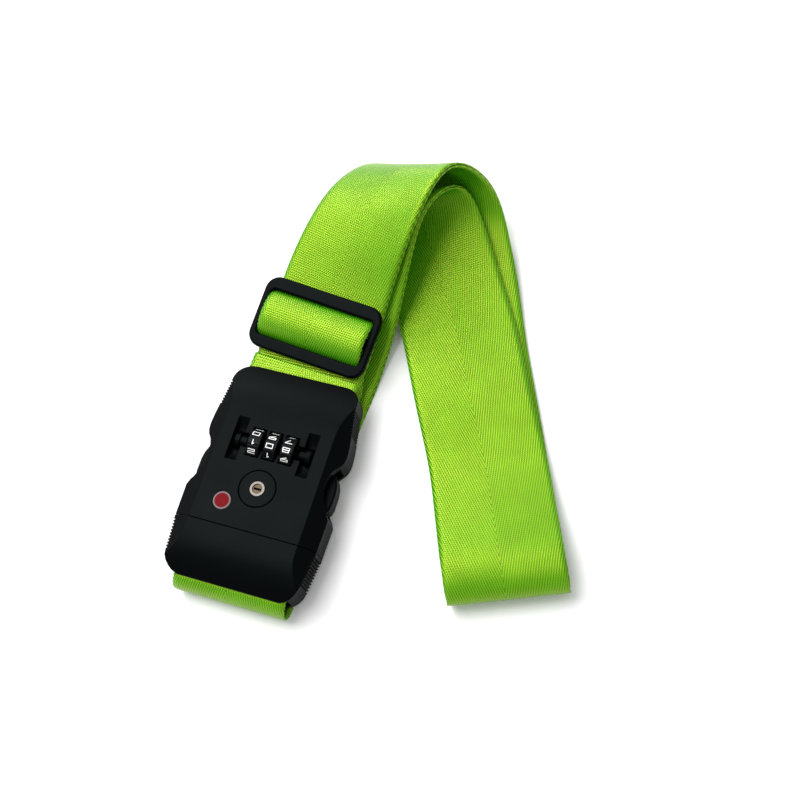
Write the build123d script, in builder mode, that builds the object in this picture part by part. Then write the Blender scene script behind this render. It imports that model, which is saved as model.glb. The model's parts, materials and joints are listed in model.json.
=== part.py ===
from build123d import *
import math
import os

os.makedirs("parts", exist_ok=True)

# Luggage strap with a three-dial and key-lock buckle, folded for display.
# Millimetres. Origin under the middle of the buckle on the surface the strap lies on.
# +Y runs along the buckle towards the slider, +X to its right, +Z up out of its face.

# ---- driving dimensions: webbing ----
web_width = 50.0
web_thick = 1.2
pair_thick = 2 * web_thick

# ---- driving dimensions: buckle ----
base_z = 4.4          # underside of the buckle, lying on the webbing
parting_z = 12.6      # where covers and bases meet
face_z = 21.0         # flat top face
female_end_y = 50.2
seam_y = -23.0        # between housing and male end
male_end_y = -46.8
seam_gap = 0.3
flat_half = 24.6      # half width of the flat top panel
facet_drop = 4.4      # how far the side facets fall
wall = 1.8
skin = 1.0            # thin side wall beside the latch channels
shell_half = 32.2     # widest half width
seam_half = 31.9      # half width at the seam
rib_pitch = 1.35
rib_depth = 0.9

# ---- latch channels ----
channel_inner = 21.4
channel_outer = shell_half - skin
channel_low_z = 6.4
channel_high_z = 15.2
channel_end_y = 14.0

# ---- latch arms ----
arm_pivot = (26.1, -27.6)
arm_boss = 2.1        # round root that the arm turns on
arm_neck = 1.5        # half width of the leg beside the root
arm_low_z = 7.0
arm_high_z = 14.7
arm_play = 0.2        # room above and below the arm

# ---- strap slots and bars ----
bar_radius = 2.0
bar_z = 11.0
female_bar_y = 42.0
male_bar_y = -40.6
slot_half_width = 26.2
slot_low_z = 7.2
slot_high_z = 14.8

# ---- dial lock ----
dial_y = 14.8
dial_z = 17.4
dial_pitch = 7.5
dial_radius = 6.6
dial_flange = 0.15
dial_width = 5.4
clutch_radius = 3.5
clutch_length = 4.0
axle_radius = 1.75
running_fit = 0.05
saddle_x = 10.65
saddle_thick = 0.6
rod_radius = 2.8
rod_near_x = 11.85
barrel_radius = 3.6
barrel_near_x = 15.0
barrel_far_x = 17.6
recess_inner_x = 13.6
recess_outer_x = 18.6
recess_half_length = 9.9
recess_depth = 3.9

# ---- key lock ----
key_y = -4.5
disc_radius = 7.95
collar_radius = 3.15
plug_radius = 2.2
plug_top_z = face_z - 0.4

# ---- slider ----
slider_tilt = 14.0
slider_turn = -6.0
slider_centre = (-1.2, 73.8, 15.7)
slider_size = (56.6, 32.8)
slider_window = (50.0, 21.0)
slider_window_shift = -0.2
slider_thick = 3.6

# ---- lock works inside the housing ----
works_half = 20.0     # half width of the room for them
works_near_y = -13.5
works_far_y = 27.0
cavity_top_z = 16.8
tongue_half = 16.8    # half width of the opening for the male half's tongue
bolt_low_z = 7.0
bolt_thick = 1.8
prong_x = 8.0
prong_width = 4.0
prong_end_y = -15.9
cam_low_z = 7.9
stub_radius = 1.2

# ---- screws and inlay ----
screw_places = [(19.0, 31.0), (-19.0, 31.0), (18.0, -15.4), (-18.0, -15.4)]
male_screw_places = [(19.0, -32.0), (-19.0, -32.0)]
screw_radius = 1.0
screw_length = 9.4
screw_head_radius = 2.0
screw_head_height = 1.4
screw_sink = 0.15     # how deep the heads lie in the underside
badge_place = (-13.0, -13.0)
badge_radius = 3.9

dial_places = [-dial_pitch, 0.0, dial_pitch]


def save(solid, label):
    """Label one finished piece and write its STEP file."""
    solid.label = label
    export_step(solid, f"parts/{label}.step")


def vertical_side(points):
    """Closed half outline in plan, from points given on the +X side, mirrored to both sides."""
    with BuildSketch() as outline:
        with BuildLine():
            Polyline(*points, close=True)
        make_face()
        mirror(about=Plane.YZ)
    return outline.sketch


def corner_points(centre, radius, start_deg, end_deg, steps=6):
    """Points round a corner, so that every outline shares the same way of rounding."""
    angles = [start_deg + (end_deg - start_deg) * i / steps for i in range(steps + 1)]
    return [
        (centre[0] + radius * math.cos(math.radians(a)), centre[1] + radius * math.sin(math.radians(a)))
        for a in angles
    ]


def grip_teeth(start, end):
    """Saw-tooth points between two points of an outline, one tooth for each rib pitch."""
    length = math.dist(start, end)
    count = round(length / rib_pitch)
    across = ((end[1] - start[1]) / length, (start[0] - end[0]) / length)
    teeth = []
    for i in range(count):
        for share, inset in ((0.0, 0.0), (0.3, 0.0), (0.75, rib_depth)):
            t = (i + share) / count
            teeth.append(
                (
                    start[0] + (end[0] - start[0]) * t + across[0] * inset,
                    start[1] + (end[1] - start[1]) * t + across[1] * inset,
                )
            )
    return teeth + [end]


# ---- plan outlines of the two halves of the buckle ----
thumb_notch = [(28.4, 12.2), (27.3, 9.6), (26.8, 6.6), (26.7, 3.4), (27.3, 0.2), (28.4, -2.8), (29.6, -5.2)]
female_outline = (
    [(0, female_end_y)]
    + corner_points((20.6, female_end_y - 8.0), 8.0, 90, 5)
    + grip_teeth((28.7, 40.4), (30.4, 29.0))
    + [(31.1, 24.4), (31.5, 19.4), (31.2, 16.6), (30.2, 14.4)]
    + thumb_notch
    + [(31.0, -6.8), (shell_half, -9.2), (seam_half, seam_y + seam_gap / 2), (0, seam_y + seam_gap / 2)]
)
male_outline = (
    [(0, seam_y - seam_gap / 2), (seam_half, seam_y - seam_gap / 2)]
    + grip_teeth((seam_half, seam_y - 1.4), (30.4, -38.0))
    + corner_points((21.0, male_end_y + 9.2), 9.2, -5, -90)
    + [(0, male_end_y)]
)


def cut_facets(low_y, high_y):
    """Slope the two long sides of a cover down from the flat panel."""
    reach = shell_half + 1.0
    drop = facet_drop * (reach - flat_half) / (shell_half - flat_half)
    for side in (1, -1):
        with BuildSketch(Plane.XZ.offset(-high_y)) as facet:
            with BuildLine():
                Polyline(
                    (side * flat_half, face_z),
                    (side * reach, face_z),
                    (side * reach, face_z - drop),
                    close=True,
                )
            make_face()
        extrude(facet.sketch, amount=high_y - low_y, mode=Mode.SUBTRACT)


def cut_end_fall(start_y, end_y, fall):
    """Curve a cover's top face down towards one end."""
    middle = ((start_y + end_y) / 2, face_z - fall * 0.24)
    with BuildSketch(Plane.YZ.offset(-shell_half - 1)) as fall_side:
        with BuildLine():
            ThreePointArc((start_y, face_z), middle, (end_y, face_z - fall))
            Line((end_y, face_z - fall), (end_y, face_z + 1))
            Line((end_y, face_z + 1), (start_y, face_z + 1))
            Line((start_y, face_z + 1), (start_y, face_z))
        make_face()
    extrude(fall_side.sketch, amount=2 * shell_half + 2, mode=Mode.SUBTRACT)


def cut_box(x_range, y_range, z_range):
    """Remove a block given by its ranges."""
    ranges = (x_range, y_range, z_range)
    with Locations(tuple(sum(span) / 2 for span in ranges)):
        Box(*[span[1] - span[0] for span in ranges], mode=Mode.SUBTRACT)


def cut_channels(low_z, high_z, low_y):
    """Open the two side channels that the latch arms slide in."""
    for side in (1, -1):
        xs = sorted((side * channel_inner, side * channel_outer))
        cut_box(xs, (low_y, channel_end_y), (low_z, high_z))


def cut_arm_sockets(low_z, high_z):
    """Round socket of each arm's root, with a neck that keeps the root in and room to swing."""
    for side in (1, -1):
        with Locations((side * arm_pivot[0], arm_pivot[1], (low_z + high_z) / 2)):
            Cylinder(arm_boss + running_fit, high_z - low_z, mode=Mode.SUBTRACT)
        swing_half = arm_boss + 1.8
        for half, start in ((arm_neck + 0.4, arm_pivot[1]), (swing_half, arm_pivot[1] + 2.6)):
            xs = sorted((side * (arm_pivot[0] - half), side * (arm_pivot[0] + half)))
            cut_box(xs, (start, seam_y + 1), (low_z, high_z))


def cut_screw_holes(places):
    """Clearance hole and head recess of each screw, from below."""
    with Locations(*[(x, y, (base_z + parting_z) / 2) for x, y in places]):
        Cylinder(screw_radius + 0.1, parting_z - base_z, mode=Mode.SUBTRACT)
    recess = screw_sink + screw_head_height + 0.05
    with Locations(*[(x, y, base_z + recess / 2) for x, y in places]):
        Cylinder(screw_head_radius + 0.1, recess, mode=Mode.SUBTRACT)


def cut_screw_pilots(places):
    """Pilot hole that each screw bites into."""
    tip_z = base_z + screw_sink + screw_head_height + screw_length
    depth = tip_z + 0.65 - parting_z
    with Locations(*[(x, y, parting_z + depth / 2) for x, y in places]):
        Cylinder(screw_radius + 0.02, depth, mode=Mode.SUBTRACT)


# ---- housing top cover ----
with BuildPart() as housing_top_cover:
    with BuildSketch(Plane.XY.offset(parting_z)):
        add(vertical_side(female_outline))
    extrude(amount=face_z - parting_z)
    cut_facets(seam_y - 1, female_end_y + 1)
    cut_end_fall(25.0, female_end_y + 0.1, 6.0)
    # room for the lock works, the latch arms and the tongue of the male half
    cut_box((-works_half, works_half), (works_near_y, works_far_y), (parting_z, cavity_top_z))
    cut_box((-tongue_half, tongue_half), (seam_y, works_near_y), (parting_z, 14.0))
    cut_channels(parting_z, channel_high_z, seam_y)
    # pocket and windows for the wheels
    pocket_half = rod_near_x - 0.15
    pocket_reach = dial_radius + 0.6
    pocket_ys = (dial_y - pocket_reach, dial_y + pocket_reach)
    cut_box((-pocket_half, pocket_half), pocket_ys, (parting_z, face_z - 1.4))
    window_half = dial_width / 2 + 0.4
    for x in dial_places:
        cut_box((x - window_half, x + window_half), (dial_y - 6.5, dial_y + 6.5), (parting_z, face_z + 1))
    # H-shaped recess: crossbar over the axle and a scooped slot at each end
    cut_box((-recess_outer_x, recess_outer_x), (dial_y - 3.1, dial_y + 3.1), (parting_z, face_z + 1))
    scoop_radius = (recess_half_length**2 + recess_depth**2) / (2 * recess_depth)
    for side in (1, -1):
        with BuildSketch(Plane.YZ.offset(side * (recess_inner_x + recess_outer_x) / 2)):
            with Locations((dial_y, face_z - recess_depth + scoop_radius)):
                Circle(scoop_radius)
        extrude(amount=(recess_outer_x - recess_inner_x) / 2, both=True, mode=Mode.SUBTRACT)
        xs = sorted((side * recess_inner_x, side * recess_outer_x))
        cut_box(xs, (dial_y - barrel_radius - 0.3, dial_y + barrel_radius + 0.3), (parting_z, face_z + 1))
    # seat of the key disc and bore of the key cylinder
    with Locations((0, key_y, face_z - 0.75)):
        Cylinder(disc_radius + 0.3, 1.5, mode=Mode.SUBTRACT)
    with Locations((0, key_y, 18)):
        Cylinder(collar_radius + 0.05, 10, mode=Mode.SUBTRACT)
    # strap slot at the end
    cut_box((-slot_half_width, slot_half_width), (35.5, female_end_y + 1), (parting_z, slot_high_z))
    cut_screw_pilots(screw_places)
    # seat of the inlay badge
    with Locations((*badge_place, face_z)):
        Cylinder(badge_radius + 0.2, 1.0, mode=Mode.SUBTRACT)
save(housing_top_cover.part, "housing_top_cover")

# ---- housing base ----
base_floor_z = base_z + wall
with BuildPart() as housing_base:
    with BuildSketch(Plane.XY.offset(base_z)):
        add(vertical_side(female_outline))
    extrude(amount=parting_z - base_z)
    cut_box((-works_half, works_half), (works_near_y, works_far_y), (base_floor_z, parting_z))
    cut_box((-tongue_half, tongue_half), (seam_y, works_near_y), (base_floor_z, parting_z))
    cut_channels(channel_low_z, parting_z, seam_y)
    cut_box((-slot_half_width, slot_half_width), (35.5, female_end_y + 1), (slot_low_z, parting_z))
    # fixed strap bar across the slot
    with BuildSketch(Plane.YZ.offset(-slot_half_width)):
        with Locations((female_bar_y, bar_z)):
            Circle(bar_radius)
    extrude(amount=2 * slot_half_width)
    # two saddles that carry the dial axle
    for side in (1, -1):
        with Locations((side * saddle_x, dial_y, (base_floor_z + dial_z + 2.1) / 2)):
            Box(saddle_thick, 6.8, dial_z + 2.1 - base_floor_z)
    bore_half = saddle_x + saddle_thick + 1.0
    with BuildSketch(Plane.YZ.offset(-bore_half)):
        with Locations((dial_y, dial_z)):
            Circle(axle_radius + running_fit)
    extrude(amount=2 * bore_half, mode=Mode.SUBTRACT)
    cut_screw_holes(screw_places)
save(housing_base.part, "housing_base")


def screw(x, y):
    """One pan-head screw pointing up, with a cross recess in its head."""
    head_z = base_z + screw_sink
    with Locations((x, y, head_z + screw_head_height / 2)):
        Cylinder(screw_head_radius, screw_head_height)
    with Locations((x, y, head_z + screw_head_height + screw_length / 2)):
        Cylinder(screw_radius, screw_length)
    for turn in (0, 90):
        with Locations(Location((x, y, head_z + 0.3), (0, 0, turn))):
            Box(2.2, 0.5, 0.6, mode=Mode.SUBTRACT)


with BuildPart() as housing_screws:
    for place in screw_places:
        screw(*place)
save(housing_screws.part, "housing_screws")

# ---- inlay badge: a plain round plate ----
with BuildPart() as badge:
    with Locations((*badge_place, face_z - 0.2)):
        Cylinder(badge_radius, 0.6)
    badge_rim = badge.edges().filter_by(GeomType.CIRCLE).sort_by(Axis.Z)[-1]
    fillet(badge_rim, 0.25)
save(badge.part, "badge")

# ---- key lock ----
with BuildPart() as key_disc:
    with Locations((0, key_y, face_z - 0.65)):
        Cylinder(disc_radius, 1.5)
        Cylinder(collar_radius + 0.05, 4, mode=Mode.SUBTRACT)
    top_rim = key_disc.edges().filter_by(GeomType.CIRCLE).group_by(Axis.Z)[-1].sort_by(SortBy.RADIUS)[-1]
    fillet(top_rim, 0.35)
save(key_disc.part, "key_disc")

cylinder_low_z = 9.2
with BuildPart() as key_cylinder_body:
    with Locations((0, key_y, (cylinder_low_z + face_z + 0.2) / 2)):
        Cylinder(collar_radius, face_z + 0.2 - cylinder_low_z)
    with Locations((0, key_y, 15.4)):
        Cylinder(5.0, 2.4)
    with Locations((0, key_y, 15)):
        Cylinder(plug_radius + running_fit, 20, mode=Mode.SUBTRACT)
save(key_cylinder_body.part, "key_cylinder_body")

wafer_levels = [17.6, 15.4, 13.2]
wafer_size = (3.4, 1.5, 0.7)
keyway_size = (3.4, 1.0)
with BuildPart() as key_plug:
    with Locations((0, key_y, (cylinder_low_z - 0.2 + plug_top_z) / 2)):
        Cylinder(plug_radius, plug_top_z - cylinder_low_z + 0.2)
    with Locations((0, key_y, cam_low_z)):
        Cylinder(stub_radius, 2.4)
    with Locations((0, key_y, 17.0)):
        Box(keyway_size[0], keyway_size[1], 11.0, mode=Mode.SUBTRACT)
    with Locations(*[(0, key_y, z) for z in wafer_levels]):
        Box(wafer_size[0] + 0.1, wafer_size[1] + 0.1, wafer_size[2] + 0.1, mode=Mode.SUBTRACT)
save(key_plug.part, "key_plug")

with BuildPart() as key_wafers:
    with Locations(*[(0, key_y, z) for z in wafer_levels]):
        Box(*wafer_size)
        Box(2.4, 0.7, 2.0, mode=Mode.SUBTRACT)
save(key_wafers.part, "key_wafers")

with BuildPart() as key_cam:
    with BuildSketch(Plane.XY.offset(cam_low_z)):
        with Locations((0, key_y)):
            Circle(2.9)
            Circle(stub_radius + 0.02, mode=Mode.SUBTRACT)
        with Locations((3.1, key_y)):
            Rectangle(2.4, 2.0)
            Circle(0.5, mode=Mode.SUBTRACT)
    extrude(amount=1.0)
save(key_cam.part, "key_cam")

with BuildPart() as key_cam_clip:
    with BuildSketch(Plane.XY.offset(cam_low_z - 0.8)):
        with Locations((0, key_y)):
            Circle(2.3)
            Circle(stub_radius + 0.02, mode=Mode.SUBTRACT)
        with Locations((0, key_y - 1.6)):
            Rectangle(1.3, 1.8, mode=Mode.SUBTRACT)
    extrude(amount=0.5)
save(key_cam_clip.part, "key_cam_clip")

# ---- lock bolt: a flat plate with two prongs that enter the male tongue ----
bolt_near_y = works_near_y + 0.5
bolt_far_y = 4.0
bolt_window = (11.6, 10.7)    # the cam turns inside it
bolt_window_y = -5.35
prong_root_y = bolt_near_y + 0.5
with BuildPart() as lock_bolt:
    with BuildSketch(Plane.XY.offset(bolt_low_z)):
        with Locations((0, (bolt_near_y + bolt_far_y) / 2)):
            Rectangle(2 * (prong_x + 3.0), bolt_far_y - bolt_near_y)
        with Locations((0, bolt_window_y)):
            Rectangle(*bolt_window, mode=Mode.SUBTRACT)
        prong_y = (prong_root_y + prong_end_y) / 2
        with Locations((prong_x, prong_y), (-prong_x, prong_y)):
            Rectangle(prong_width, prong_root_y - prong_end_y)
    extrude(amount=bolt_thick)
save(lock_bolt.part, "lock_bolt")

# ---- dial axle with its two finger barrels ----
with BuildPart() as dial_axle:
    with BuildSketch(Plane.YZ.offset(-rod_near_x)):
        with Locations((dial_y, dial_z)):
            Circle(axle_radius)
    extrude(amount=2 * rod_near_x)
    for side in (1, -1):
        for near, far, radius in (
            (rod_near_x, barrel_near_x, rod_radius),
            (barrel_near_x, barrel_far_x, barrel_radius),
        ):
            with BuildSketch(Plane.YZ.offset(side * near)):
                with Locations((dial_y, dial_z)):
                    Circle(radius)
            extrude(amount=side * (far - near))
    ends = dial_axle.edges().filter_by(GeomType.CIRCLE).group_by(Axis.X)
    fillet(ends[0] + ends[-1], 0.8)
save(dial_axle.part, "dial_axle")

# ---- wheels and clutch sleeves ----
flat_count = 10
for number, x in enumerate(dial_places, start=1):
    with BuildPart() as dial_wheel:
        with BuildSketch(Plane.YZ.offset(x - dial_width / 2)):
            with Locations((dial_y, dial_z)):
                Circle(dial_radius)
                Circle(clutch_radius + running_fit, mode=Mode.SUBTRACT)
            with Locations((dial_y, dial_z)):
                with PolarLocations(dial_radius + 0.2, flat_count, start_angle=108):
                    Circle(0.5, mode=Mode.SUBTRACT)
        extrude(amount=dial_width - 0.7)
        with BuildSketch(Plane.YZ.offset(x + dial_width / 2 - 0.7)):
            with Locations((dial_y, dial_z)):
                Circle(dial_radius + dial_flange)
                Circle(clutch_radius + running_fit, mode=Mode.SUBTRACT)
        extrude(amount=0.7)
    save(dial_wheel.part, f"dial_wheel_{number}")

    with BuildPart() as dial_clutch:
        with BuildSketch(Plane.YZ.offset(x - clutch_length / 2)):
            with Locations((dial_y, dial_z)):
                Circle(clutch_radius)
                Circle(axle_radius + running_fit, mode=Mode.SUBTRACT)
            with Locations((dial_y, dial_z + clutch_radius)):
                Rectangle(1.6, 1.0, mode=Mode.SUBTRACT)
        extrude(amount=clutch_length)
    save(dial_clutch.part, f"dial_clutch_{number}")

# ---- detent spring: one plate with a finger under each wheel ----
finger_rise = dial_z - dial_radius - dial_flange - base_floor_z - 0.2
with BuildPart() as dial_detent_spring:
    with Locations((0, dial_y + 10.0, base_floor_z + 0.25)):
        Box(19.0, 3.6, 0.5)
    for x in dial_places:
        with BuildSketch(Plane.YZ.offset(x - 1.4)):
            with BuildLine():
                low = base_floor_z
                Polyline(
                    (dial_y + 8.4, low),
                    (dial_y + 8.4, low + 0.5),
                    (dial_y + 1.6, low + finger_rise - 0.7),
                    (dial_y, low + finger_rise),
                    (dial_y - 1.6, low + finger_rise - 0.7),
                    (dial_y - 1.6, low + finger_rise - 1.2),
                    (dial_y, low + finger_rise - 0.5),
                    (dial_y + 1.6, low + finger_rise - 1.2),
                    close=True,
                )
            make_face()
        extrude(amount=2.8)
save(dial_detent_spring.part, "dial_detent_spring")

# ---- male half: cover, base with tongue, screws ----
with BuildPart() as male_cover:
    with BuildSketch(Plane.XY.offset(parting_z)):
        add(vertical_side(male_outline))
    extrude(amount=face_z - parting_z)
    cut_facets(male_end_y - 1, seam_y + 1)
    cut_end_fall(-27.0, male_end_y - 0.1, 6.4)
    cut_box((-slot_half_width, slot_half_width), (male_end_y - 1, -34.2), (parting_z, slot_high_z))
    cut_screw_pilots(male_screw_places)
    cut_arm_sockets(parting_z, arm_high_z + arm_play)
save(male_cover.part, "male_cover")

tongue_end_y = -14.4
tongue_high_z = 12.2
tongue_width = 2 * tongue_half - 1.6
prong_hollow_z = 9.2
with BuildPart() as male_base:
    with BuildSketch(Plane.XY.offset(base_z)):
        add(vertical_side(male_outline))
    extrude(amount=parting_z - base_z)
    cut_box((-slot_half_width, slot_half_width), (male_end_y - 1, -34.2), (slot_low_z, parting_z))
    with BuildSketch(Plane.YZ.offset(-slot_half_width)):
        with Locations((male_bar_y, bar_z)):
            Circle(bar_radius)
    extrude(amount=2 * slot_half_width)
    # tongue that the lock bolt holds
    tongue_root_y = seam_y - 1
    tongue_low_z = base_floor_z + 0.4
    with Locations((0, (tongue_root_y + tongue_end_y) / 2, (tongue_low_z + tongue_high_z) / 2)):
        Box(tongue_width, tongue_end_y - tongue_root_y, tongue_high_z - tongue_low_z)
    hollow_half = prong_width / 2 + 0.3
    for side in (1, -1):
        xs = sorted((side * (prong_x - hollow_half), side * (prong_x + hollow_half)))
        cut_box(xs, (prong_end_y - 3.5, tongue_end_y + 0.4), (base_floor_z, prong_hollow_z))
    cut_arm_sockets(arm_low_z - arm_play, parting_z)
    cut_screw_holes(male_screw_places)
save(male_base.part, "male_base")

with BuildPart() as male_screws:
    for place in male_screw_places:
        screw(*place)
save(male_screws.part, "male_screws")

# ---- latch arms: a leg that pivots in the male half, with a thumb tab at its end ----
tab_half = channel_outer - 0.2
for side, word in ((-1, "left"), (1, "right")):
    with BuildPart() as latch_arm:
        with BuildSketch(Plane.XY.offset(arm_low_z)):
            with BuildLine():
                Polyline(
                    (side * (arm_pivot[0] - arm_neck), arm_pivot[1]),
                    (side * (arm_pivot[0] + arm_neck), arm_pivot[1]),
                    (side * (arm_pivot[0] + arm_neck), arm_pivot[1] + 3.0),
                    (side * 28.2, -12.0),
                    (side * 28.4, -6.4),
                    (side * 29.4, -5.4),
                    (side * (tab_half - 0.5), -4.2),
                    (side * tab_half, -2.0),
                    (side * tab_half, 4.0),
                    (side * (tab_half - 0.5), 7.2),
                    (side * (tab_half - 1.5), 9.8),
                    (side * (tab_half - 3.0), 11.6),
                    (side * 25.4, 11.6),
                    (side * 24.8, 0.0),
                    (side * 25.2, -14.0),
                    (side * (arm_pivot[0] - arm_neck), arm_pivot[1] + 3.0),
                    close=True,
                )
            make_face()
            with Locations((side * arm_pivot[0], arm_pivot[1])):
                Circle(arm_boss)
        extrude(amount=arm_high_z - arm_low_z)
        tab_edges = latch_arm.edges().filter_by_position(Axis.Y, -5.5, 11.7).filter_by_position(
            Axis.Z, arm_high_z - 0.01, arm_high_z + 0.01
        )
        chamfer(tab_edges.filter_by(lambda edge: abs(edge.center().X) > 28.6), 0.7)
    save(latch_arm.part, f"latch_arm_{word}")

# ---- slider ----
slider_plane = Plane(
    origin=slider_centre,
    x_dir=(math.cos(math.radians(slider_turn)), math.sin(math.radians(slider_turn)), 0),
    z_dir=(
        math.sin(math.radians(slider_tilt)) * math.sin(math.radians(slider_turn)),
        -math.sin(math.radians(slider_tilt)) * math.cos(math.radians(slider_turn)),
        math.cos(math.radians(slider_tilt)),
    ),
)
with BuildPart() as slider_frame:
    with BuildSketch(slider_plane):
        RectangleRounded(slider_size[0], slider_size[1], 6.5)
        with Locations((0, slider_window_shift)):
            RectangleRounded(slider_window[0], slider_window[1], 2.0, mode=Mode.SUBTRACT)
    extrude(amount=slider_thick)
    flats = slider_frame.faces().filter_by(Axis((0, 0, 0), slider_plane.z_dir))
    fillet(flats.edges(), 1.0)
    # centre bar, lower than the rims, that the webbing passes over
    with BuildSketch(slider_plane.offset(0.4)):
        with Locations((0, slider_window_shift)):
            Rectangle(slider_window[0] + 1, 4.6)
    extrude(amount=slider_thick - 1.4)
save(slider_frame.part, "slider_frame")

roll_width = slider_window[0] - 0.8
roll_half = slider_window[1] / 2 - 0.5
with BuildPart() as webbing_slider_roll:
    roll_plane = Plane(
        origin=slider_plane.from_local_coords((-roll_width / 2, slider_window_shift, 0)),
        x_dir=slider_plane.y_dir,
        z_dir=slider_plane.x_dir,
    )
    with BuildSketch(roll_plane):
        with BuildLine():
            ThreePointArc((-roll_half, 0.3), (0, 5.6), (roll_half, 0.3))
            Line((roll_half, 0.3), (roll_half - 1.6, 0.3))
            ThreePointArc((roll_half - 1.6, 0.3), (0, 4.4), (-roll_half + 1.6, 0.3))
            Line((-roll_half + 1.6, 0.3), (-roll_half, 0.3))
        make_face()
    extrude(amount=roll_width)
save(webbing_slider_roll.part, "webbing_slider_roll")


# ---- webbing ----
end_pull = 0.5    # how hard a curve keeps to the direction given at its ends


def strip(label, lines, start_along, end_along, count=1, steps=4):
    """A strip of doubled webbing through a few cross lines, each given by its left and right end.

    A bent stretch is cut into several short nodes, so that a plain hull fits each of them."""
    rims = [
        Spline(
            *[line[side] for line in lines],
            tangents=(start_along, end_along),
            tangent_scalars=(end_pull, end_pull),
        )
        for side in (0, 1)
    ]
    for number in range(count):
        with BuildPart() as stretch:
            for step in range(steps + 1):
                share = (number + step / steps) / count
                left, right = rims[0] @ share, rims[1] @ share
                across = (right - left).normalized()
                ahead = (rims[0] % share) + (rims[1] % share)
                with BuildSketch(
                    Plane(
                        origin=(left + right) * 0.5,
                        x_dir=across,
                        z_dir=ahead - across * ahead.dot(across),
                    )
                ):
                    Rectangle((right - left).length, pair_thick)
            loft(ruled=True)
        save(stretch.part, f"{label}_{number + 1}" if count > 1 else label)


def way(start, end):
    """Direction of travel from the middle of one cross line to the middle of another."""
    return (Vector(end[0]) + Vector(end[1]) - Vector(start[0]) - Vector(start[1])).normalized()


low_z = pair_thick / 2    # middle of the pair that lies on the surface
high_z = low_z + pair_thick + 0.4

# outer pair: under the slider, up over the open bend, down on to the surface
outer_bend = [
    ((-25.0, 61.0, 9.4), (25.0, 59.0, 9.4)),
    ((-24.8, 77.0, 11.6), (25.4, 75.0, 11.8)),
    ((-22.6, 100.0, 18.6), (26.8, 92.0, 18.0)),
    ((-17.5, 122.0, 25.6), (30.0, 109.5, 31.0)),
    ((-10.0, 144.0, 25.6), (34.4, 130.0, 42.0)),
    ((2.0, 160.0, 14.5), (42.0, 151.5, 42.5)),
    ((13.0, 147.0, 1.7), (55.4, 157.0, 24.0)),
    ((21.6, 124.5, low_z), (66.8, 143.4, 8.2)),
    ((30.5, 102.5, low_z), (77.0, 122.0, 3.2)),
    ((39.6, 81.0, low_z), (86.0, 100.0, low_z)),
]
# folded end of the right leg: a puffy turn that stands above the stack
fold_start = ((82.6, -14.5, low_z), (128.9, 4.0, low_z))
fold_end = ((65.6, 23.4, high_z), (111.9, 41.9, high_z))
# inner pair: back up the right leg, over under the outer pair and down the left leg
inner_bend = [
    ((35.0, 82.4, high_z), (80.6, 103.2, high_z)),
    ((23.4, 102.0, high_z), (66.8, 125.8, 7.2)),
    ((11.6, 121.4, high_z), (54.8, 144.0, 15.2)),
    ((0.6, 140.4, 4.8), (43.8, 150.8, 27.0)),
    ((-9.6, 146.6, 15.0), (35.8, 137.0, 34.6)),
    ((-15.4, 124.6, 17.6), (32.8, 116.0, 29.6)),
    ((-17.4, 102.4, 11.6), (32.0, 97.0, 17.0)),
    ((-19.0, 80.4, 5.2), (31.0, 77.0, 6.2)),
    ((-20.6, 57.6, low_z), (29.4, 54.6, low_z)),
]
under_end = ((-24.6, -4.0, low_z), (25.2, -8.0, low_z))

lower_way = way(outer_bend[-1], fold_start)
upper_way = way(fold_end, inner_bend[0])
under_way = way(inner_bend[-1], under_end)
strip("webbing_outer_bend", outer_bend, (0, 0.98, 0.12), lower_way, count=8)
strip("webbing_lower_run", [outer_bend[-1], fold_start], lower_way, lower_way)
strip("webbing_upper_run", [fold_end, inner_bend[0]], upper_way, upper_way)
strip("webbing_inner_bend", inner_bend, upper_way, under_way, count=7)
strip("webbing_under_run", [inner_bend[-1], under_end], under_way, under_way)

# the turn of the folded end, drawn from the side and as wide as the webbing
fold_across = (Vector(fold_start[1]) - Vector(fold_start[0])).normalized()
fold_middle = (Vector(fold_start[0]) + Vector(fold_start[1])) * 0.5
fold_side = Plane(
    origin=fold_middle,
    x_dir=lower_way - fold_across * lower_way.dot(fold_across),
    z_dir=fold_across * -1,
)
fold_path = Spline(
    (0, 0),
    (10.8, 2.2),
    (13.8, 8.0),
    (7.4, 13.3),
    (-10.0, 11.0),
    (-28.0, 5.4),
    (-40.8, high_z - low_z),
    tangents=((1, 0), (-1, 0)),
    tangent_scalars=(end_pull, end_pull),
)
fold_count = 3
for number in range(fold_count):
    with BuildPart() as fold:
        with BuildSketch(fold_side):
            with BuildLine():
                add(fold_path.trim(number / fold_count, (number + 1) / fold_count))
            trace(line_width=pair_thick)
        extrude(amount=web_width / 2, both=True)
    save(fold.part, f"webbing_end_fold_{number + 1}")

# strand that leaves the outer pair and dips under the buckle
strand_end_y = 45.6
strand_low_z = pair_thick + 0.5
with BuildPart() as webbing_under_strand:
    with BuildSketch(Plane.YZ.offset(-web_width / 2)):
        with BuildLine():
            Polyline(
                (57.8, 6.6),
                (57.8, 6.6 + web_thick),
                (50.0, strand_low_z + web_thick),
                (strand_end_y, strand_low_z + web_thick),
                (strand_end_y, strand_low_z),
                (50.4, strand_low_z),
                close=True,
            )
        make_face()
    extrude(amount=web_width)
save(webbing_under_strand.part, "webbing_under_strand")

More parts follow.
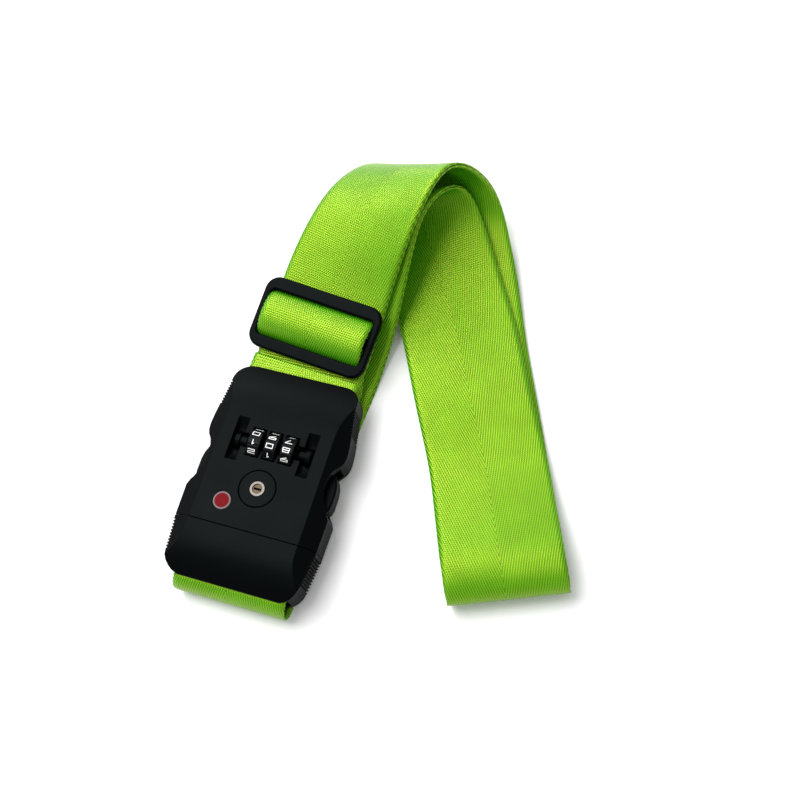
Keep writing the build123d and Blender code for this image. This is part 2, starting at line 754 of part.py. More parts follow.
# loop round the housing's strap bar, with its two strands running to the slider
ring = bar_radius + 0.3
outer = ring + web_thick
bend_y = 50.4       # where the two strands of the loop start to close up
tip_y = 57.6        # where they lie on each other
tip_low_z = 8.6
with BuildPart() as webbing_bar_loop:
    with BuildSketch(Plane.YZ.offset(-web_width / 2)):
        with BuildLine():
            ThreePointArc(
                (female_bar_y, bar_z + outer), (female_bar_y - outer, bar_z), (female_bar_y, bar_z - outer)
            )
            Polyline(
                (female_bar_y, bar_z - outer),
                (bend_y, bar_z - outer + 0.4),
                (tip_y, tip_low_z),
                (tip_y, tip_low_z + pair_thick),
                (bend_y, bar_z + outer - 0.4),
                (female_bar_y, bar_z + outer),
            )
        make_face()
        with BuildLine():
            ThreePointArc(
                (female_bar_y, bar_z + ring), (female_bar_y - ring, bar_z), (female_bar_y, bar_z - ring)
            )
            Polyline(
                (female_bar_y, bar_z - ring),
                (bend_y, bar_z - ring + 0.4),
                (tip_y - 2.2, tip_low_z + 1.1),
                (bend_y, bar_z + ring - 0.4),
                (female_bar_y, bar_z + ring),
            )
        make_face(mode=Mode.SUBTRACT)
    extrude(amount=web_width)
save(webbing_bar_loop.part, "webbing_bar_loop")

# loop of the male half: round its bar, out of the slot, back underneath
turn_y = male_end_y + 2.4
turn_low_z = web_thick / 2
turn_high_z = bar_z + ring + web_thick / 2
turn_radius = (turn_high_z - turn_low_z) / 2
turn_z = (turn_high_z + turn_low_z) / 2
loop_x = 0.6
rise_y = -10.0      # where the strand climbs on to the pair below
strand_far_y = 44.6
with BuildPart() as webbing_male_loop:
    with BuildSketch(Plane.YZ.offset(loop_x - web_width / 2)):
        with BuildLine():
            reach = turn_radius + web_thick / 2
            ThreePointArc((turn_y, turn_z + reach), (turn_y - reach, turn_z), (turn_y, turn_z - reach))
            Polyline(
                (turn_y, 0),
                (rise_y - 6.0, 0),
                (rise_y, strand_low_z),
                (strand_far_y, strand_low_z),
                (strand_far_y, strand_low_z + web_thick),
                (rise_y - 0.4, strand_low_z + web_thick),
                (rise_y - 6.4, web_thick),
                (turn_y, web_thick),
            )
            reach = turn_radius - web_thick / 2
            ThreePointArc((turn_y, turn_z - reach), (turn_y - reach, turn_z), (turn_y, turn_z + reach))
            Line((turn_y, turn_z + reach), (male_bar_y, bar_z + ring))
            ThreePointArc(
                (male_bar_y, bar_z + ring), (male_bar_y + ring, bar_z), (male_bar_y, bar_z - ring)
            )
            Line((male_bar_y, bar_z - ring), (male_bar_y, bar_z - ring - web_thick))
            ThreePointArc(
                (male_bar_y, bar_z - ring - web_thick),
                (male_bar_y + ring + web_thick, bar_z),
                (male_bar_y, bar_z + ring + web_thick),
            )
            Line((male_bar_y, bar_z + ring + web_thick), (turn_y, turn_z + turn_radius + web_thick / 2))
        make_face()
    extrude(amount=web_width)
save(webbing_male_loop.part, "webbing_male_loop")
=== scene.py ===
import json
import math

import bmesh
import bpy
import numpy as np
from mathutils import Matrix, Vector


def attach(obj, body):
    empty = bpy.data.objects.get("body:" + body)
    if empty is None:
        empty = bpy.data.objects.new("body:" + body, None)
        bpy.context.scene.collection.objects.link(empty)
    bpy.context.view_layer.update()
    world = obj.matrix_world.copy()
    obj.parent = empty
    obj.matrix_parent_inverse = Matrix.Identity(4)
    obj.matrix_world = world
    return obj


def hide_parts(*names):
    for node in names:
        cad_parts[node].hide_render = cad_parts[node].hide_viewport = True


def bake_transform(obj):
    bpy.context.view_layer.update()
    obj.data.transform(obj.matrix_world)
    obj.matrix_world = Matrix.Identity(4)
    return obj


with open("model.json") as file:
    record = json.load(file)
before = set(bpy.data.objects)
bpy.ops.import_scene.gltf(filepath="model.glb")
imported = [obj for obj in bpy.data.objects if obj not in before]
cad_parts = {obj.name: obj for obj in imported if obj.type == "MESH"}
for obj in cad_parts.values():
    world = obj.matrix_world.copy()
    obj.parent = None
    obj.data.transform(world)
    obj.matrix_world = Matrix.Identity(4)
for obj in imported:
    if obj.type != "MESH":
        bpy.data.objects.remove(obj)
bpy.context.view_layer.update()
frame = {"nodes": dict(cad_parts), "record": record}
MM = 0.001

# ---- driving dimensions, in millimetres ----
WEB_WIDTH = 50.0
WEB_THICK = 1.15
LAYER_GAP = 0.1
PAIR_OFFSET = (WEB_THICK + LAYER_GAP) / 2
STEP = 1.5              # rows of the webbing mesh, along
COLUMNS = 24            # columns of the webbing mesh, across
RIB_PITCH = 1.5         # knots of the selvedge
TWILL_PITCH = 1.05
TWILL_SLOPE = 0.3       # how far the twill drifts sideways for each step along
WEFT_PITCH = 0.98
EDGE_SOFTNESS = 0.0004  # radius at the edges of moulded plastic
KNOT_DEPTH = 0.22       # how far a knot stands out of the selvedge
RIM_SHARE = 0.62        # thickness at the selvedge against the middle
HALF_WIDTH = WEB_WIDTH / 2
FINE_STEP = 0.8         # rows along the short pieces of webbing
DIAL_RADIUS = 6.6
DIAL_Y = 14.8
DIAL_Z = 17.4
DIAL_PITCH = 7.5
BADGE_PLACE = (-13.0, -13.0)
BADGE_FIELD = (3.1, 3.2)    # radii between which the red field turns into the rim
FEMALE_BAR = (42.0, 11.0)   # y and z of the housing's strap bar
MALE_BAR = (-40.6, 11.0)
MALE_LOOP_X = 0.6
SLIDER_CENTRE = Vector((-1.2, 73.8, 15.7))
SLIDER_TILT = math.radians(14.0)
SLIDER_TURN = math.radians(-6.0)
ROLL_HALF_WIDTH = 24.95
ROLL_SHIFT = -0.2


# ---------------------------------------------------------------- webbing: shape
LOW = 1.2
HIGH = LOW + 2.8

OUTER_BEND = [
    ((-25.0, 61.0, 9.4), (25.0, 59.0, 9.4)),
    ((-24.8, 77.0, 11.6), (25.4, 75.0, 11.8)),
    ((-22.6, 100.0, 18.6), (26.8, 92.0, 18.0)),
    ((-17.5, 122.0, 25.6), (30.0, 109.5, 31.0)),
    ((-10.0, 144.0, 25.6), (34.4, 130.0, 42.0)),
    ((2.0, 160.0, 14.5), (42.0, 151.5, 42.5)),
    ((13.0, 147.0, 1.7), (55.4, 157.0, 24.0)),
    ((21.6, 124.5, LOW), (66.8, 143.4, 8.2)),
    ((30.5, 102.5, LOW), (77.0, 122.0, 3.2)),
    ((39.6, 81.0, LOW), (86.0, 100.0, LOW)),
]
LOWER_RUN = [
    ((54.0, 49.2, LOW), (100.3, 68.0, LOW)),
    ((68.3, 17.4, LOW), (114.6, 36.0, LOW)),
    ((82.6, -14.5, LOW), (128.9, 4.0, LOW)),
]
FOLD_WAY = Vector((0.4071, -0.9134, 0.0))
FOLD_LEFT = Vector((82.6, -14.5, LOW))
FOLD_RIGHT = Vector((128.9, 4.0, LOW))
FOLD_SIDE = [(10.8, 2.2), (13.8, 8.0), (7.4, 13.3), (-10.0, 11.0), (-28.0, 5.4), (-40.8, 2.8)]
UPPER_RUN = [((50.3, 52.9, HIGH), (96.2, 72.5, HIGH))]
INNER_BEND = [
    ((35.0, 82.4, HIGH), (80.6, 103.2, HIGH)),
    ((23.4, 102.0, HIGH), (66.8, 125.8, 7.2)),
    ((11.6, 121.4, HIGH), (54.8, 144.0, 15.2)),
    ((0.6, 140.4, 4.8), (43.8, 150.8, 27.0)),
    ((-9.6, 146.6, 15.0), (35.8, 137.0, 34.6)),
    ((-15.4, 124.6, 17.6), (32.8, 116.0, 29.6)),
    ((-17.4, 102.4, 11.6), (32.0, 97.0, 17.0)),
    ((-19.0, 80.4, 5.2), (31.0, 77.0, 6.2)),
    ((-20.6, 57.6, LOW), (29.4, 54.6, LOW)),
]
UNDER_RUN = [
    ((-22.6, 26.8, LOW), (27.3, 23.3, LOW)),
    ((-24.6, -4.0, LOW), (25.2, -8.0, LOW)),
]


def fold_lines():
    """Cross lines of the folded end, from its side profile."""
    return [
        (tuple(FOLD_LEFT + FOLD_WAY * s + Vector((0, 0, h))), tuple(FOLD_RIGHT + FOLD_WAY * s + Vector((0, 0, h))))
        for s, h in FOLD_SIDE
    ]


def cubic(points, at, places):
    """A smooth curve through points at the given parameters, worked out at places."""
    points, at = np.asarray(points, float), np.asarray(at, float)
    count = len(at)
    gap = np.diff(at)
    system = np.eye(count)
    right = np.zeros_like(points)
    slope = np.diff(points, axis=0) / gap[:, None]
    for i in range(1, count - 1):
        system[i, i - 1] = gap[i - 1]
        system[i, i] = 2 * (gap[i - 1] + gap[i])
        system[i, i + 1] = gap[i]
        right[i] = 6 * (slope[i] - slope[i - 1])
    bend = np.linalg.solve(system, right)
    cell = np.clip(np.searchsorted(at, places, side="right") - 1, 0, count - 2)
    h = gap[cell][:, None]
    a = ((at[cell + 1] - places)[:, None]) / h
    b = 1 - a
    return (
        a * points[cell]
        + b * points[cell + 1]
        + ((a**3 - a) * bend[cell] + (b**3 - b) * bend[cell + 1]) * h**2 / 6
    )


def ruled(lines, step=STEP):
    """Left and right rim of a strip through cross lines, at even steps along its middle."""
    left = np.array([line[0] for line in lines], float)
    right = np.array([line[1] for line in lines], float)
    chord = (
        np.linalg.norm(np.diff(left, axis=0), axis=1) + np.linalg.norm(np.diff(right, axis=0), axis=1)
    ) / 2
    at = np.concatenate([[0], np.cumsum(chord)])
    fine = np.linspace(0, at[-1], int(at[-1] * 4))
    middle = (cubic(left, at, fine) + cubic(right, at, fine)) / 2
    run = np.concatenate([[0], np.cumsum(np.linalg.norm(np.diff(middle, axis=0), axis=1))])
    places = np.interp(np.linspace(0, run[-1], max(2, int(run[-1] / step))), run, fine)
    return cubic(left, at, places), cubic(right, at, places)


def normals(left, right):
    """Unit normal of the strip at each row, on the side that is up when it runs along +Y."""
    middle = (left + right) / 2
    ahead = np.gradient(middle, axis=0)
    across = right - left
    normal = np.cross(across, ahead)
    return normal / np.linalg.norm(normal, axis=1)[:, None]


def web_mesh(name, left, right, material):
    """A closed webbing strip between two rims, with knotted selvedges and a uv in millimetres."""
    rows = len(left)
    normal = normals(left, right)
    middle = (left + right) / 2
    run = np.concatenate([[0], np.cumsum(np.linalg.norm(np.diff(middle, axis=0), axis=1))])
    across = (right - left) / np.linalg.norm(right - left, axis=1)[:, None]
    shares = np.linspace(0, 1, COLUMNS + 1)
    half = WEB_THICK / 2
    verts, uvs = [], []
    for side in (1, -1):
        for column, share in enumerate(shares):
            thick = half * (RIM_SHARE if column in (0, COLUMNS) else 1.0)
            point = left * (1 - share) + right * share + normal * (side * thick)
            if column in (0, COLUMNS):
                knot = KNOT_DEPTH * np.sin(2 * math.pi * run / RIB_PITCH)
                point = point + across * (knot * (-1 if column == 0 else 1))[:, None]
            verts.append(point)
            uvs.append(np.stack([np.full(rows, share * WEB_WIDTH), run], axis=1))
    ring = list(range(COLUMNS + 1)) + [COLUMNS + 1 + c for c in range(COLUMNS, -1, -1)]
    count = len(ring)
    coords = np.stack([verts[c] for c in ring], axis=1).reshape(-1, 3) * MM
    flat = np.stack([uvs[c] for c in ring], axis=1).reshape(-1, 2)
    faces = []
    for row in range(rows - 1):
        base = row * count
        for c in range(count):
            d = (c + 1) % count
            faces.append((base + c, base + d, base + count + d, base + count + c))
    faces.append(tuple(range(count))[::-1])
    faces.append(tuple((rows - 1) * count + c for c in range(count)))
    mesh = bpy.data.meshes.new(name)
    mesh.from_pydata([tuple(v) for v in coords], [], faces)
    layer = mesh.uv_layers.new(name="weave")
    loop_verts = np.zeros(len(mesh.loops), int)
    mesh.loops.foreach_get("vertex_index", loop_verts)
    layer.data.foreach_set("uv", flat[loop_verts].ravel())
    for polygon in mesh.polygons:
        polygon.use_smooth = True
    piece = bpy.data.objects.new(name, mesh)
    bpy.context.scene.collection.objects.link(piece)
    mesh.materials.append(material)
    return piece, run[-1]


# ---------------------------------------------------------------- materials
def new_material(name):
    """A material and its parts: tree, principled shader."""
    material = bpy.data.materials.new(name)
    material.use_nodes = True
    tree = material.node_tree
    return material, tree, tree.nodes["Principled BSDF"]


def add_node(tree, kind, **settings):
    """One shader node with some of its settings and inputs."""
    node = tree.nodes.new(kind)
    for key, value in settings.items():
        if key.startswith("in_"):
            node.inputs[int(key[3:])].default_value = value
        else:
            setattr(node, key, value)
    return node


def math_node(tree, operation, a, b=None):
    """A maths node fed by numbers or sockets; gives its output socket."""
    node = add_node(tree, "ShaderNodeMath", operation=operation)
    for index, value in enumerate((a, b)):
        if value is None:
            continue
        if isinstance(value, (int, float)):
            node.inputs[index].default_value = value
        else:
            tree.links.new(value, node.inputs[index])
    return node.outputs[0]


def webbing_material():
    """Lime polyester webbing: a fine twill that meets in a chevron at the centre, with a satin sheen. Its colour
    carries painted shade in the hollows of the weave and a painted highlight on the raised yarns.
    """
    material, tree, shader = new_material("lime_webbing")
    uv = add_node(tree, "ShaderNodeUVMap", uv_map="weave")
    split = add_node(tree, "ShaderNodeSeparateXYZ")
    tree.links.new(uv.outputs[0], split.inputs[0])
    across, along = split.outputs[0], split.outputs[1]
    from_centre = math_node(tree, "ABSOLUTE", math_node(tree, "SUBTRACT", across, WEB_WIDTH * 0.48))
    diagonal = math_node(tree, "SUBTRACT", from_centre, math_node(tree, "MULTIPLY", along, TWILL_SLOPE))
    twill = math_node(tree, "SINE", math_node(tree, "MULTIPLY", diagonal, 2 * math.pi / TWILL_PITCH))
    weft = math_node(tree, "SINE", math_node(tree, "MULTIPLY", along, 2 * math.pi / WEFT_PITCH))
    knots = math_node(tree, "MULTIPLY", twill, weft)
    height = math_node(
        tree,
        "ADD",
        math_node(tree, "MULTIPLY", twill, 0.5),
        math_node(tree, "MULTIPLY", knots, 0.5),
    )
    # a darker seam where the two twills meet
    seam = add_node(tree, "ShaderNodeMapRange", clamp=True)
    seam.inputs["From Min"].default_value = 0.1
    seam.inputs["From Max"].default_value = 0.5
    seam.inputs["To Min"].default_value = 0.05
    seam.inputs["To Max"].default_value = 0.0
    tree.links.new(from_centre, seam.inputs["Value"])
    noise = add_node(tree, "ShaderNodeTexNoise")
    noise.inputs["Scale"].default_value = 0.08
    noise.inputs["Detail"].default_value = 3
    tree.links.new(uv.outputs[0], noise.inputs["Vector"])
    # the single yarns differ slightly in tone
    yarn = add_node(tree, "ShaderNodeTexNoise", noise_dimensions="1D")
    yarn.inputs["Scale"].default_value = 1.9
    tree.links.new(across, yarn.inputs["W"])
    unevenness = math_node(
        tree,
        "ADD",
        math_node(tree, "MULTIPLY", noise.outputs[0], 0.3),
        math_node(tree, "MULTIPLY", yarn.outputs[0], 0.3),
    )
    # painted shade and highlight: the weave's height darkens the colour in its hollows and lightens it on the
    # raised yarns, on top of the bump; the seam is part of the pattern
    seam_and_painted_weave_shade = math_node(tree, "SUBTRACT", math_node(tree, "MULTIPLY", height, 0.6), seam.outputs[0])
    # colour factor: yarn tone that differs at random, plus the painted weave shade above
    tone_and_painted_shade = math_node(tree, "ADD", math_node(tree, "ADD", seam_and_painted_weave_shade, unevenness), 0.22)
    ramp = add_node(tree, "ShaderNodeValToRGB")
    ramp.color_ramp.elements[0].position = 0.1
    ramp.color_ramp.elements[0].color = (0.006, 0.09, 0.001, 1)
    ramp.color_ramp.elements[1].position = 0.85
    ramp.color_ramp.elements[1].color = (0.085, 0.46, 0.006, 1)
    tree.links.new(tone_and_painted_shade, ramp.inputs[0])
    tree.links.new(ramp.outputs[0], shader.inputs["Base Color"])
    bump = add_node(tree, "ShaderNodeBump")
    bump.inputs["Strength"].default_value = 0.5
    bump.inputs["Distance"].default_value = 0.0002
    tree.links.new(height, bump.inputs["Height"])
    tree.links.new(bump.outputs[0], shader.inputs["Normal"])
    shader.inputs["Roughness"].default_value = 0.25
    shader.inputs["Metallic"].default_value = 0.12
    shader.inputs["IOR"].default_value = 1.65
    shader.inputs["Specular IOR Level"].default_value = 1.0
    shader.inputs["Specular Tint"].default_value = (1.0, 0.78, 0.1, 1)
    return material


def plastic_material(name, colour, roughness, grain, scale, shine=0.3):
    """Moulded plastic: fine spark-eroded grain, slight unevenness in gloss, softened edges."""
    material, tree, shader = new_material(name)
    place = add_node(tree, "ShaderNodeTexCoord")
    fine = add_node(tree, "ShaderNodeTexNoise")
    fine.inputs["Scale"].default_value = scale
    fine.inputs["Detail"].default_value = 3
    tree.links.new(place.outputs["Object"], fine.inputs["Vector"])
    broad = add_node(tree, "ShaderNodeTexNoise")
    broad.inputs["Scale"].default_value = 60
    tree.links.new(place.outputs["Object"], broad.inputs["Vector"])
    gloss = add_node(tree, "ShaderNodeMapRange")
    gloss.inputs["To Min"].default_value = roughness - 0.06
    gloss.inputs["To Max"].default_value = roughness + 0.06
    tree.links.new(broad.outputs[0], gloss.inputs["Value"])
    tree.links.new(gloss.outputs[0], shader.inputs["Roughness"])
    tone = add_node(tree, "ShaderNodeMix", data_type="RGBA")
    tone.inputs[6].default_value = (*[c * 0.7 for c in colour], 1)
    tone.inputs[7].default_value = (*[c * 1.3 for c in colour], 1)
    tree.links.new(fine.outputs[0], tone.inputs[0])
    tree.links.new(tone.outputs[2], shader.inputs["Base Color"])
    edges = add_node(tree, "ShaderNodeBevel", samples=6)
    edges.inputs["Radius"].default_value = EDGE_SOFTNESS
    bump = add_node(tree, "ShaderNodeBump")
    bump.inputs["Strength"].default_value = grain
    bump.inputs["Distance"].default_value = 0.00008
    tree.links.new(fine.outputs[0], bump.inputs["Height"])
    tree.links.new(edges.outputs[0], bump.inputs["Normal"])
    tree.links.new(bump.outputs[0], shader.inputs["Normal"])
    shader.inputs["Specular IOR Level"].default_value = shine
    shader.inputs["Specular Tint"].default_value = (0.85, 1.0, 1.0, 1)
    return material


def metal_material(name, colour, roughness):
    """Turned metal with faint brushing and dulled patches."""
    material, tree, shader = new_material(name)
    place = add_node(tree, "ShaderNodeTexCoord")
    brushed = add_node(tree, "ShaderNodeTexNoise")
    brushed.inputs["Scale"].default_value = 2500
    brushed.inputs["Detail"].default_value = 2
    tree.links.new(place.outputs["Object"], brushed.inputs["Vector"])
    gloss = add_node(tree, "ShaderNodeMapRange")
    gloss.inputs["To Min"].default_value = roughness - 0.05
    gloss.inputs["To Max"].default_value = roughness + 0.12
    tree.links.new(brushed.outputs[0], gloss.inputs["Value"])
    tree.links.new(gloss.outputs[0], shader.inputs["Roughness"])
    tone = add_node(tree, "ShaderNodeMix", data_type="RGBA")
    tone.inputs[6].default_value = (*[c * 0.85 for c in colour], 1)
    tone.inputs[7].default_value = (*colour, 1)
    tree.links.new(brushed.outputs[0], tone.inputs[0])
    tree.links.new(tone.outputs[2], shader.inputs["Base Color"])
    shader.inputs["Metallic"].default_value = 1.0
    return material


def badge_material():
    """Enamelled inlay: a red field in a pale metal rim."""
    material = plastic_material("badge_plate", (0.15, 0.003, 0.007), 0.45, 0.05, 5000, 0.04)
    tree = material.node_tree
    shader = tree.nodes["Principled BSDF"]
    place = add_node(tree, "ShaderNodeTexCoord")
    offset = add_node(tree, "ShaderNodeVectorMath", operation="SUBTRACT")
    offset.inputs[1].default_value = (BADGE_PLACE[0] * MM, BADGE_PLACE[1] * MM, 0)
    tree.links.new(place.outputs["Object"], offset.inputs[0])
    flat = add_node(tree, "ShaderNodeVectorMath", operation="MULTIPLY")
    flat.inputs[1].default_value = (1, 1, 0)
    tree.links.new(offset.outputs[0], flat.inputs[0])
    reach = add_node(tree, "ShaderNodeVectorMath", operation="LENGTH")
    tree.links.new(flat.outputs[0], reach.inputs[0])
    rim = add_node(tree, "ShaderNodeMapRange", clamp=True)
    rim.inputs["From Min"].default_value = BADGE_FIELD[0] * MM
    rim.inputs["From Max"].default_value = BADGE_FIELD[1] * MM
    tree.links.new(reach.outputs["Value"], rim.inputs["Value"])
    field = add_node(tree, "ShaderNodeMix", data_type="RGBA")
    field.inputs[7].default_value = (0.17, 0.14, 0.14, 1)
    tree.links.new(rim.outputs[0], field.inputs[0])
    tree.links.new(shader.inputs["Base Color"].links[0].from_socket, field.inputs[6])
    tree.links.new(field.outputs[2], shader.inputs["Base Color"])
    return material


lime = webbing_material()
black = plastic_material("black_plastic", (0.0004, 0.0007, 0.0009), 0.4, 0.3, 9000, 0.042)
gloss_black = plastic_material("black_gloss", (0.0008, 0.001, 0.0012), 0.36, 0.08, 6000, 0.08)
ink = plastic_material("digit_white", (0.8, 0.8, 0.78), 0.5, 0.05, 4000)
steel = metal_material("lock_metal", (0.16, 0.15, 0.135), 0.42)
brass = metal_material("brass_plug", (0.07, 0.055, 0.035), 0.4)
red = badge_material()
thread = plastic_material("thread", (0.16, 0.42, 0.01), 0.5, 0.4, 12000)

by_slot = {
    "black_plastic": black,
    "black_gloss": gloss_black,
    "lime_webbing": lime,
    "lock_metal": steel,
    "brass_plug": brass,
    "badge_plate": red,
}
slot_of = {part["node"]: part["material_slot"] for part in frame["record"]["subparts"]}
for node, piece in frame["nodes"].items():
    piece.data.materials.clear()
    piece.data.materials.append(by_slot[slot_of[node]])


# ---------------------------------------------------------------- the strap
def shifted(left, right, amount):
    """Both rims moved along the strip's normal."""
    normal = normals(left, right)
    return left + normal * amount, right + normal * amount


left, right = ruled(OUTER_BEND + LOWER_RUN + fold_lines() + UPPER_RUN + INNER_BEND + UNDER_RUN)
outer_left, outer_right = shifted(left, right, PAIR_OFFSET)
inner_left, inner_right = shifted(left, right, -PAIR_OFFSET)
# at the far end the webbing turns back on itself
end_way = left[-1] - left[-2]
end_way = end_way / np.linalg.norm(end_way)
end_up = normals(left, right)[-1]
turn = [
    end_way * (PAIR_OFFSET * math.sin(math.radians(a))) + end_up * (PAIR_OFFSET * math.cos(math.radians(a)))
    for a in range(15, 180, 15)
]
turn_left = np.array([left[-1] + offset for offset in turn])
turn_right = np.array([right[-1] + offset for offset in turn])
# at the near end the inner layer dips under the buckle
dip = [
    ((-HALF_WIDTH, 57.0, 7.2), (HALF_WIDTH, 56.5, 7.2)),
    ((-HALF_WIDTH, 51.5, 3.9), (HALF_WIDTH, 51.5, 3.9)),
    ((-HALF_WIDTH, 46.0, 3.5), (HALF_WIDTH, 46.0, 3.5)),
]
dip_left, dip_right = ruled([(tuple(inner_left[3]), tuple(inner_right[3]))] + dip)
strap, length = web_mesh(
    "webbing_strap",
    np.concatenate([outer_left, turn_left, inner_left[:3:-1], dip_left]),
    np.concatenate([outer_right, turn_right, inner_right[:3:-1], dip_right]),
    lime,
)
long_nodes = ("webbing_outer", "webbing_lower", "webbing_end", "webbing_upper", "webbing_inner", "webbing_under")
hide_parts(*[n for n in frame["nodes"] if n.startswith(long_nodes)])
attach(strap, "housing")


def profile_strip(name, path, x_middle, skew=0.0):
    """A webbing strip following a path of (y, z) points. skew slants its cut first end."""
    x_low, x_high = x_middle - HALF_WIDTH, x_middle + HALF_WIDTH
    lines = [((x_low, y, z), (x_high, y, z)) for y, z in path]
    first, second = path[0], path[1]
    reach = skew / math.dist(first, second)
    lines[0] = (
        (x_low, first[0] + (first[0] - second[0]) * reach, first[1] + (first[1] - second[1]) * reach),
        (x_high, *first),
    )
    return web_mesh(name, *ruled(lines, FINE_STEP), lime)


def arc(centre, radius, start, end, count):
    """Points round part of a circle, by angle in degrees."""
    return [
        (
            centre[0] + radius * math.cos(math.radians(start + (end - start) * i / count)),
            centre[1] + radius * math.sin(math.radians(start + (end - start) * i / count)),
        )
        for i in range(count + 1)
    ]


# loop round the housing's bar, on to the slider
loop_path = (
    [(53.0, 13.5), (50.4, 13.75), (47.0, 13.9)]
    + arc(FEMALE_BAR, 2.95, 90, 270, 8)
    + [(50.4, 8.5), (55.6, 9.8), (61.5, 11.1), (65.0, 11.9)]
)
bar_loop, length = profile_strip("webbing_buckle_loop", loop_path, 0.0, skew=4.2)
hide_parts("webbing_bar_loop")
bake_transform(bar_loop)

# loop of the male half: round its bar, out of the slot and back underneath
turn_low = 0.62
turn_high = 13.9
turn_centre = (-44.4, (turn_low + turn_high) / 2)
strand_z = 3.5
male_path = (
    arc(MALE_BAR, 2.9, -90, 90, 8)
    + arc(turn_centre, (turn_high - turn_low) / 2, 90, 270, 10)
    + [(-24.0, turn_low), (-17.0, turn_low), (-10.0, 3.45), (22.0, strand_z), (44.4, strand_z)]
)
male_loop, length = profile_strip("webbing_male_strand", male_path, MALE_LOOP_X)
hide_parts("webbing_male_loop")
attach(male_loop, "male_half")

# roll over the slider's centre bar
slider_x = Vector((math.cos(SLIDER_TURN), math.sin(SLIDER_TURN), 0))
slider_z = Vector(
    (
        math.sin(SLIDER_TILT) * math.sin(SLIDER_TURN),
        -math.sin(SLIDER_TILT) * math.cos(SLIDER_TURN),
        math.cos(SLIDER_TILT),
    )
)
slider_y = slider_z.cross(slider_x)
roll_side = [
    (-13.5, -0.9),
    (-11.5, -0.8),
    (-9.9, 1.0),
    (-6.4, 4.3),
    (-0.4, 5.8),
    (5.8, 4.3),
    (9.8, 1.1),
    (11.5, -0.8),
    (13.5, -0.9),
]
roll_lines = [
    tuple(
        tuple(SLIDER_CENTRE + slider_x * x + slider_y * (y + ROLL_SHIFT) + slider_z * z)
        for x in (-ROLL_HALF_WIDTH, ROLL_HALF_WIDTH)
    )
    for y, z in roll_side
]
roll, length = web_mesh("webbing_roll", *ruled(roll_lines, FINE_STEP), lime)
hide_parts("webbing_slider_roll")
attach(roll, "slider")


# ---------------------------------------------------------------- stitching
STITCH = (2.0, 0.45, 0.3)
STITCH_PITCH = 3.0
STITCH_MARGIN = 3.0


def stitch_rows(name, body, x_middle, rows):
    """Rows of thread across the webbing, each row given by its y and z."""
    rows_mesh = bmesh.new()
    count = int((WEB_WIDTH - 2 * STITCH_MARGIN) / STITCH_PITCH)
    for y, z in rows:
        for i in range(count + 1):
            x = x_middle + (i - count / 2) * STITCH_PITCH
            size = Matrix.Diagonal((STITCH[0] * MM, STITCH[1] * MM, STITCH[2] * MM, 1))
            place = Matrix.Translation((x * MM, y * MM, z * MM))
            bmesh.ops.create_icosphere(rows_mesh, subdivisions=1, radius=0.5, matrix=place @ size)
    mesh = bpy.data.meshes.new(name)
    rows_mesh.to_mesh(mesh)
    rows_mesh.free()
    mesh.materials.append(thread)
    piece = bpy.data.objects.new(name, mesh)
    bpy.context.scene.collection.objects.link(piece)
    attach(piece, body)


stitch_rows("stitches_buckle_end", "housing", 0.0, [(47.2, 14.45), (45.2, 14.45)])
male_rows = [(y, z) for z in (strand_z + 0.6, strand_z - 0.6) for y in (42.0, 38.0)]
stitch_rows("stitches_male_end", "male_half", MALE_LOOP_X, male_rows)


# ---------------------------------------------------------------- dial digits
DIGIT_SIZE = (2.9, 1.8)     # broad and low
DIGIT_PHASE = 97            # degrees, where the middle row stands
DIGIT_SHIFT = -0.35         # the digits keep clear of the wheel's flange
DIGIT_RADIUS = DIAL_RADIUS + 0.04
STROKE = 0.36
SHOWN_DIGITS = {1: 1, 2: 0, 3: 8}
# strokes of each digit on a plate one wide and one high, from its lower left corner
DIGIT_STROKES = {
    0: [[(0, 0), (1, 0), (1, 1), (0, 1), (0, 0)]],
    1: [[(0.35, 0.8), (0.55, 1), (0.55, 0)]],
    2: [[(0, 1), (1, 1), (1, 0.55), (0, 0.45), (0, 0), (1, 0)]],
    3: [[(0, 1), (1, 1), (1, 0), (0, 0)], [(0.3, 0.5), (1, 0.5)]],
    4: [[(0.7, 0), (0.7, 1), (0, 0.35), (1, 0.35)]],
    5: [[(1, 1), (0, 1), (0, 0.55), (1, 0.55), (1, 0), (0, 0)]],
    6: [[(0.8, 1), (0, 0.5), (0, 0), (1, 0), (1, 0.5), (0, 0.5)]],
    7: [[(0, 1), (1, 1), (0.45, 0)]],
    8: [[(0.05, 0.5), (0.05, 1), (0.95, 1), (0.95, 0.5), (0, 0.5), (0, 0), (1, 0), (1, 0.5)]],
    9: [[(0.2, 0), (1, 0.5), (1, 1), (0, 1), (0, 0.5), (1, 0.5)]],
}


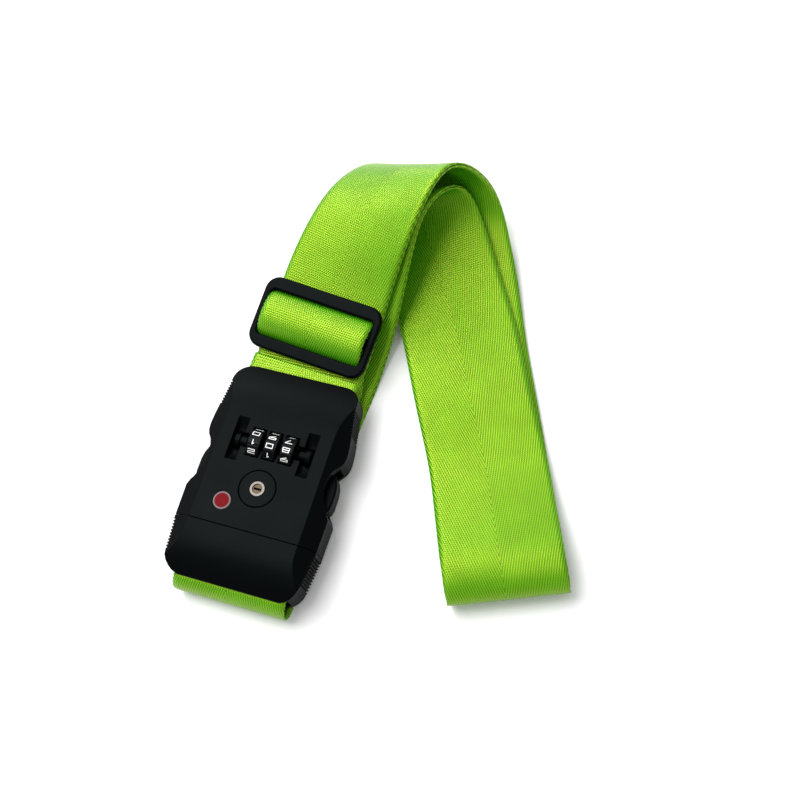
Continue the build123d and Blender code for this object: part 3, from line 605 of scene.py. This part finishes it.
def digits_for(number, x):
    """Ten broad digits round one wheel, bent to its rim."""
    wheel = bmesh.new()

    def on_wheel(place, u, v):
        # the digits stand with their heads towards the male end
        angle = math.radians(DIGIT_PHASE + 36 * place) + v / DIAL_RADIUS
        return wheel.verts.new(
            (
                (x - u + DIGIT_SHIFT) * MM,
                (DIAL_Y + DIGIT_RADIUS * math.cos(angle)) * MM,
                (DIAL_Z + DIGIT_RADIUS * math.sin(angle)) * MM,
            )
        )

    for place in range(10):
        for stroke in DIGIT_STROKES[(SHOWN_DIGITS[number] + place) % 10]:
            points = [((u - 0.5) * DIGIT_SIZE[0], (v - 0.5) * DIGIT_SIZE[1]) for u, v in stroke]
            for start, end in zip(points, points[1:]):
                run = math.dist(start, end)
                du = (end[0] - start[0]) / run * STROKE / 2
                dv = (end[1] - start[1]) / run * STROKE / 2
                # each stroke reaches half its width past both ends, so that corners close
                a = (start[0] - du, start[1] - dv)
                b = (end[0] + du, end[1] + dv)
                bands = max(1, round(run / 0.4))
                rows = []
                for band in range(bands + 1):
                    u = a[0] + (b[0] - a[0]) * band / bands
                    v = a[1] + (b[1] - a[1]) * band / bands
                    rows.append((on_wheel(place, u + dv, v - du), on_wheel(place, u - dv, v + du)))
                for near, far in zip(rows, rows[1:]):
                    wheel.faces.new((near[0], far[0], far[1], near[1]))
    bmesh.ops.recalc_face_normals(wheel, faces=wheel.faces[:])
    mesh = bpy.data.meshes.new(f"dial_digits_{number}")
    wheel.to_mesh(mesh)
    wheel.free()
    mesh.materials.append(ink)
    piece = bpy.data.objects.new(mesh.name, mesh)
    bpy.context.scene.collection.objects.link(piece)
    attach(piece, f"dial_{number}")


for number, x in ((1, -DIAL_PITCH), (2, 0.0), (3, DIAL_PITCH)):
    digits_for(number, x)


# ---------------------------------------------------------------- stage, light, camera
def plain_floor():
    """Plain pale floor."""
    mesh = bpy.data.meshes.new("floor")
    half = 3.0
    corners = [(-half, -half, 0), (half, -half, 0), (half, half, 0), (-half, half, 0)]
    mesh.from_pydata(corners, [], [(0, 1, 2, 3)])
    floor = bpy.data.objects.new("floor", mesh)
    bpy.context.scene.collection.objects.link(floor)
    material, tree, shader = new_material("floor")
    shader.inputs["Base Color"].default_value = (0.92, 0.92, 0.92, 1)
    shader.inputs["Roughness"].default_value = 0.9
    mesh.materials.append(material)


def area_light(name, location, target, size, power):
    """A soft square lamp aimed at a point."""
    light = bpy.data.lights.new(name, "AREA")
    light.shape = "SQUARE"
    light.size = size
    light.energy = power
    lamp = bpy.data.objects.new(name, light)
    lamp.location = location
    lamp.rotation_euler = (Vector(target) - Vector(location)).to_track_quat("-Z", "Y").to_euler()
    bpy.context.scene.collection.objects.link(lamp)


plain_floor()
middle = (0.05, 0.06, 0.0)
area_light("overhead", (-0.46, 0.14, 1.1), middle, 0.8, 13)
area_light("back", (-0.6, 0.9, 0.75), middle, 0.5, 8)
world = bpy.data.worlds.new("studio")
world.use_nodes = True
world.node_tree.nodes["Background"].inputs[0].default_value = (1, 1, 1, 1)
world.node_tree.nodes["Background"].inputs[1].default_value = 0.66
bpy.context.scene.world = world
bpy.context.scene.view_settings.view_transform = "Standard"

camera_data = bpy.data.cameras.new("camera")
camera_data.lens = 54.0
camera_data.sensor_width = 36.0
camera = bpy.data.objects.new("camera", camera_data)
side = Vector((0.9467, 0.2938, -0.1322))
up = Vector((-0.2276, 0.9004, 0.3707))
back = side.cross(up).normalized()
turn = Matrix((side, up, back)).transposed().to_4x4()
camera.matrix_world = Matrix.Translation((0.1620, -0.1142, 0.4869)) @ turn
bpy.context.scene.collection.objects.link(camera)
bpy.context.scene.camera = camera

bpy.context.view_layer.update()
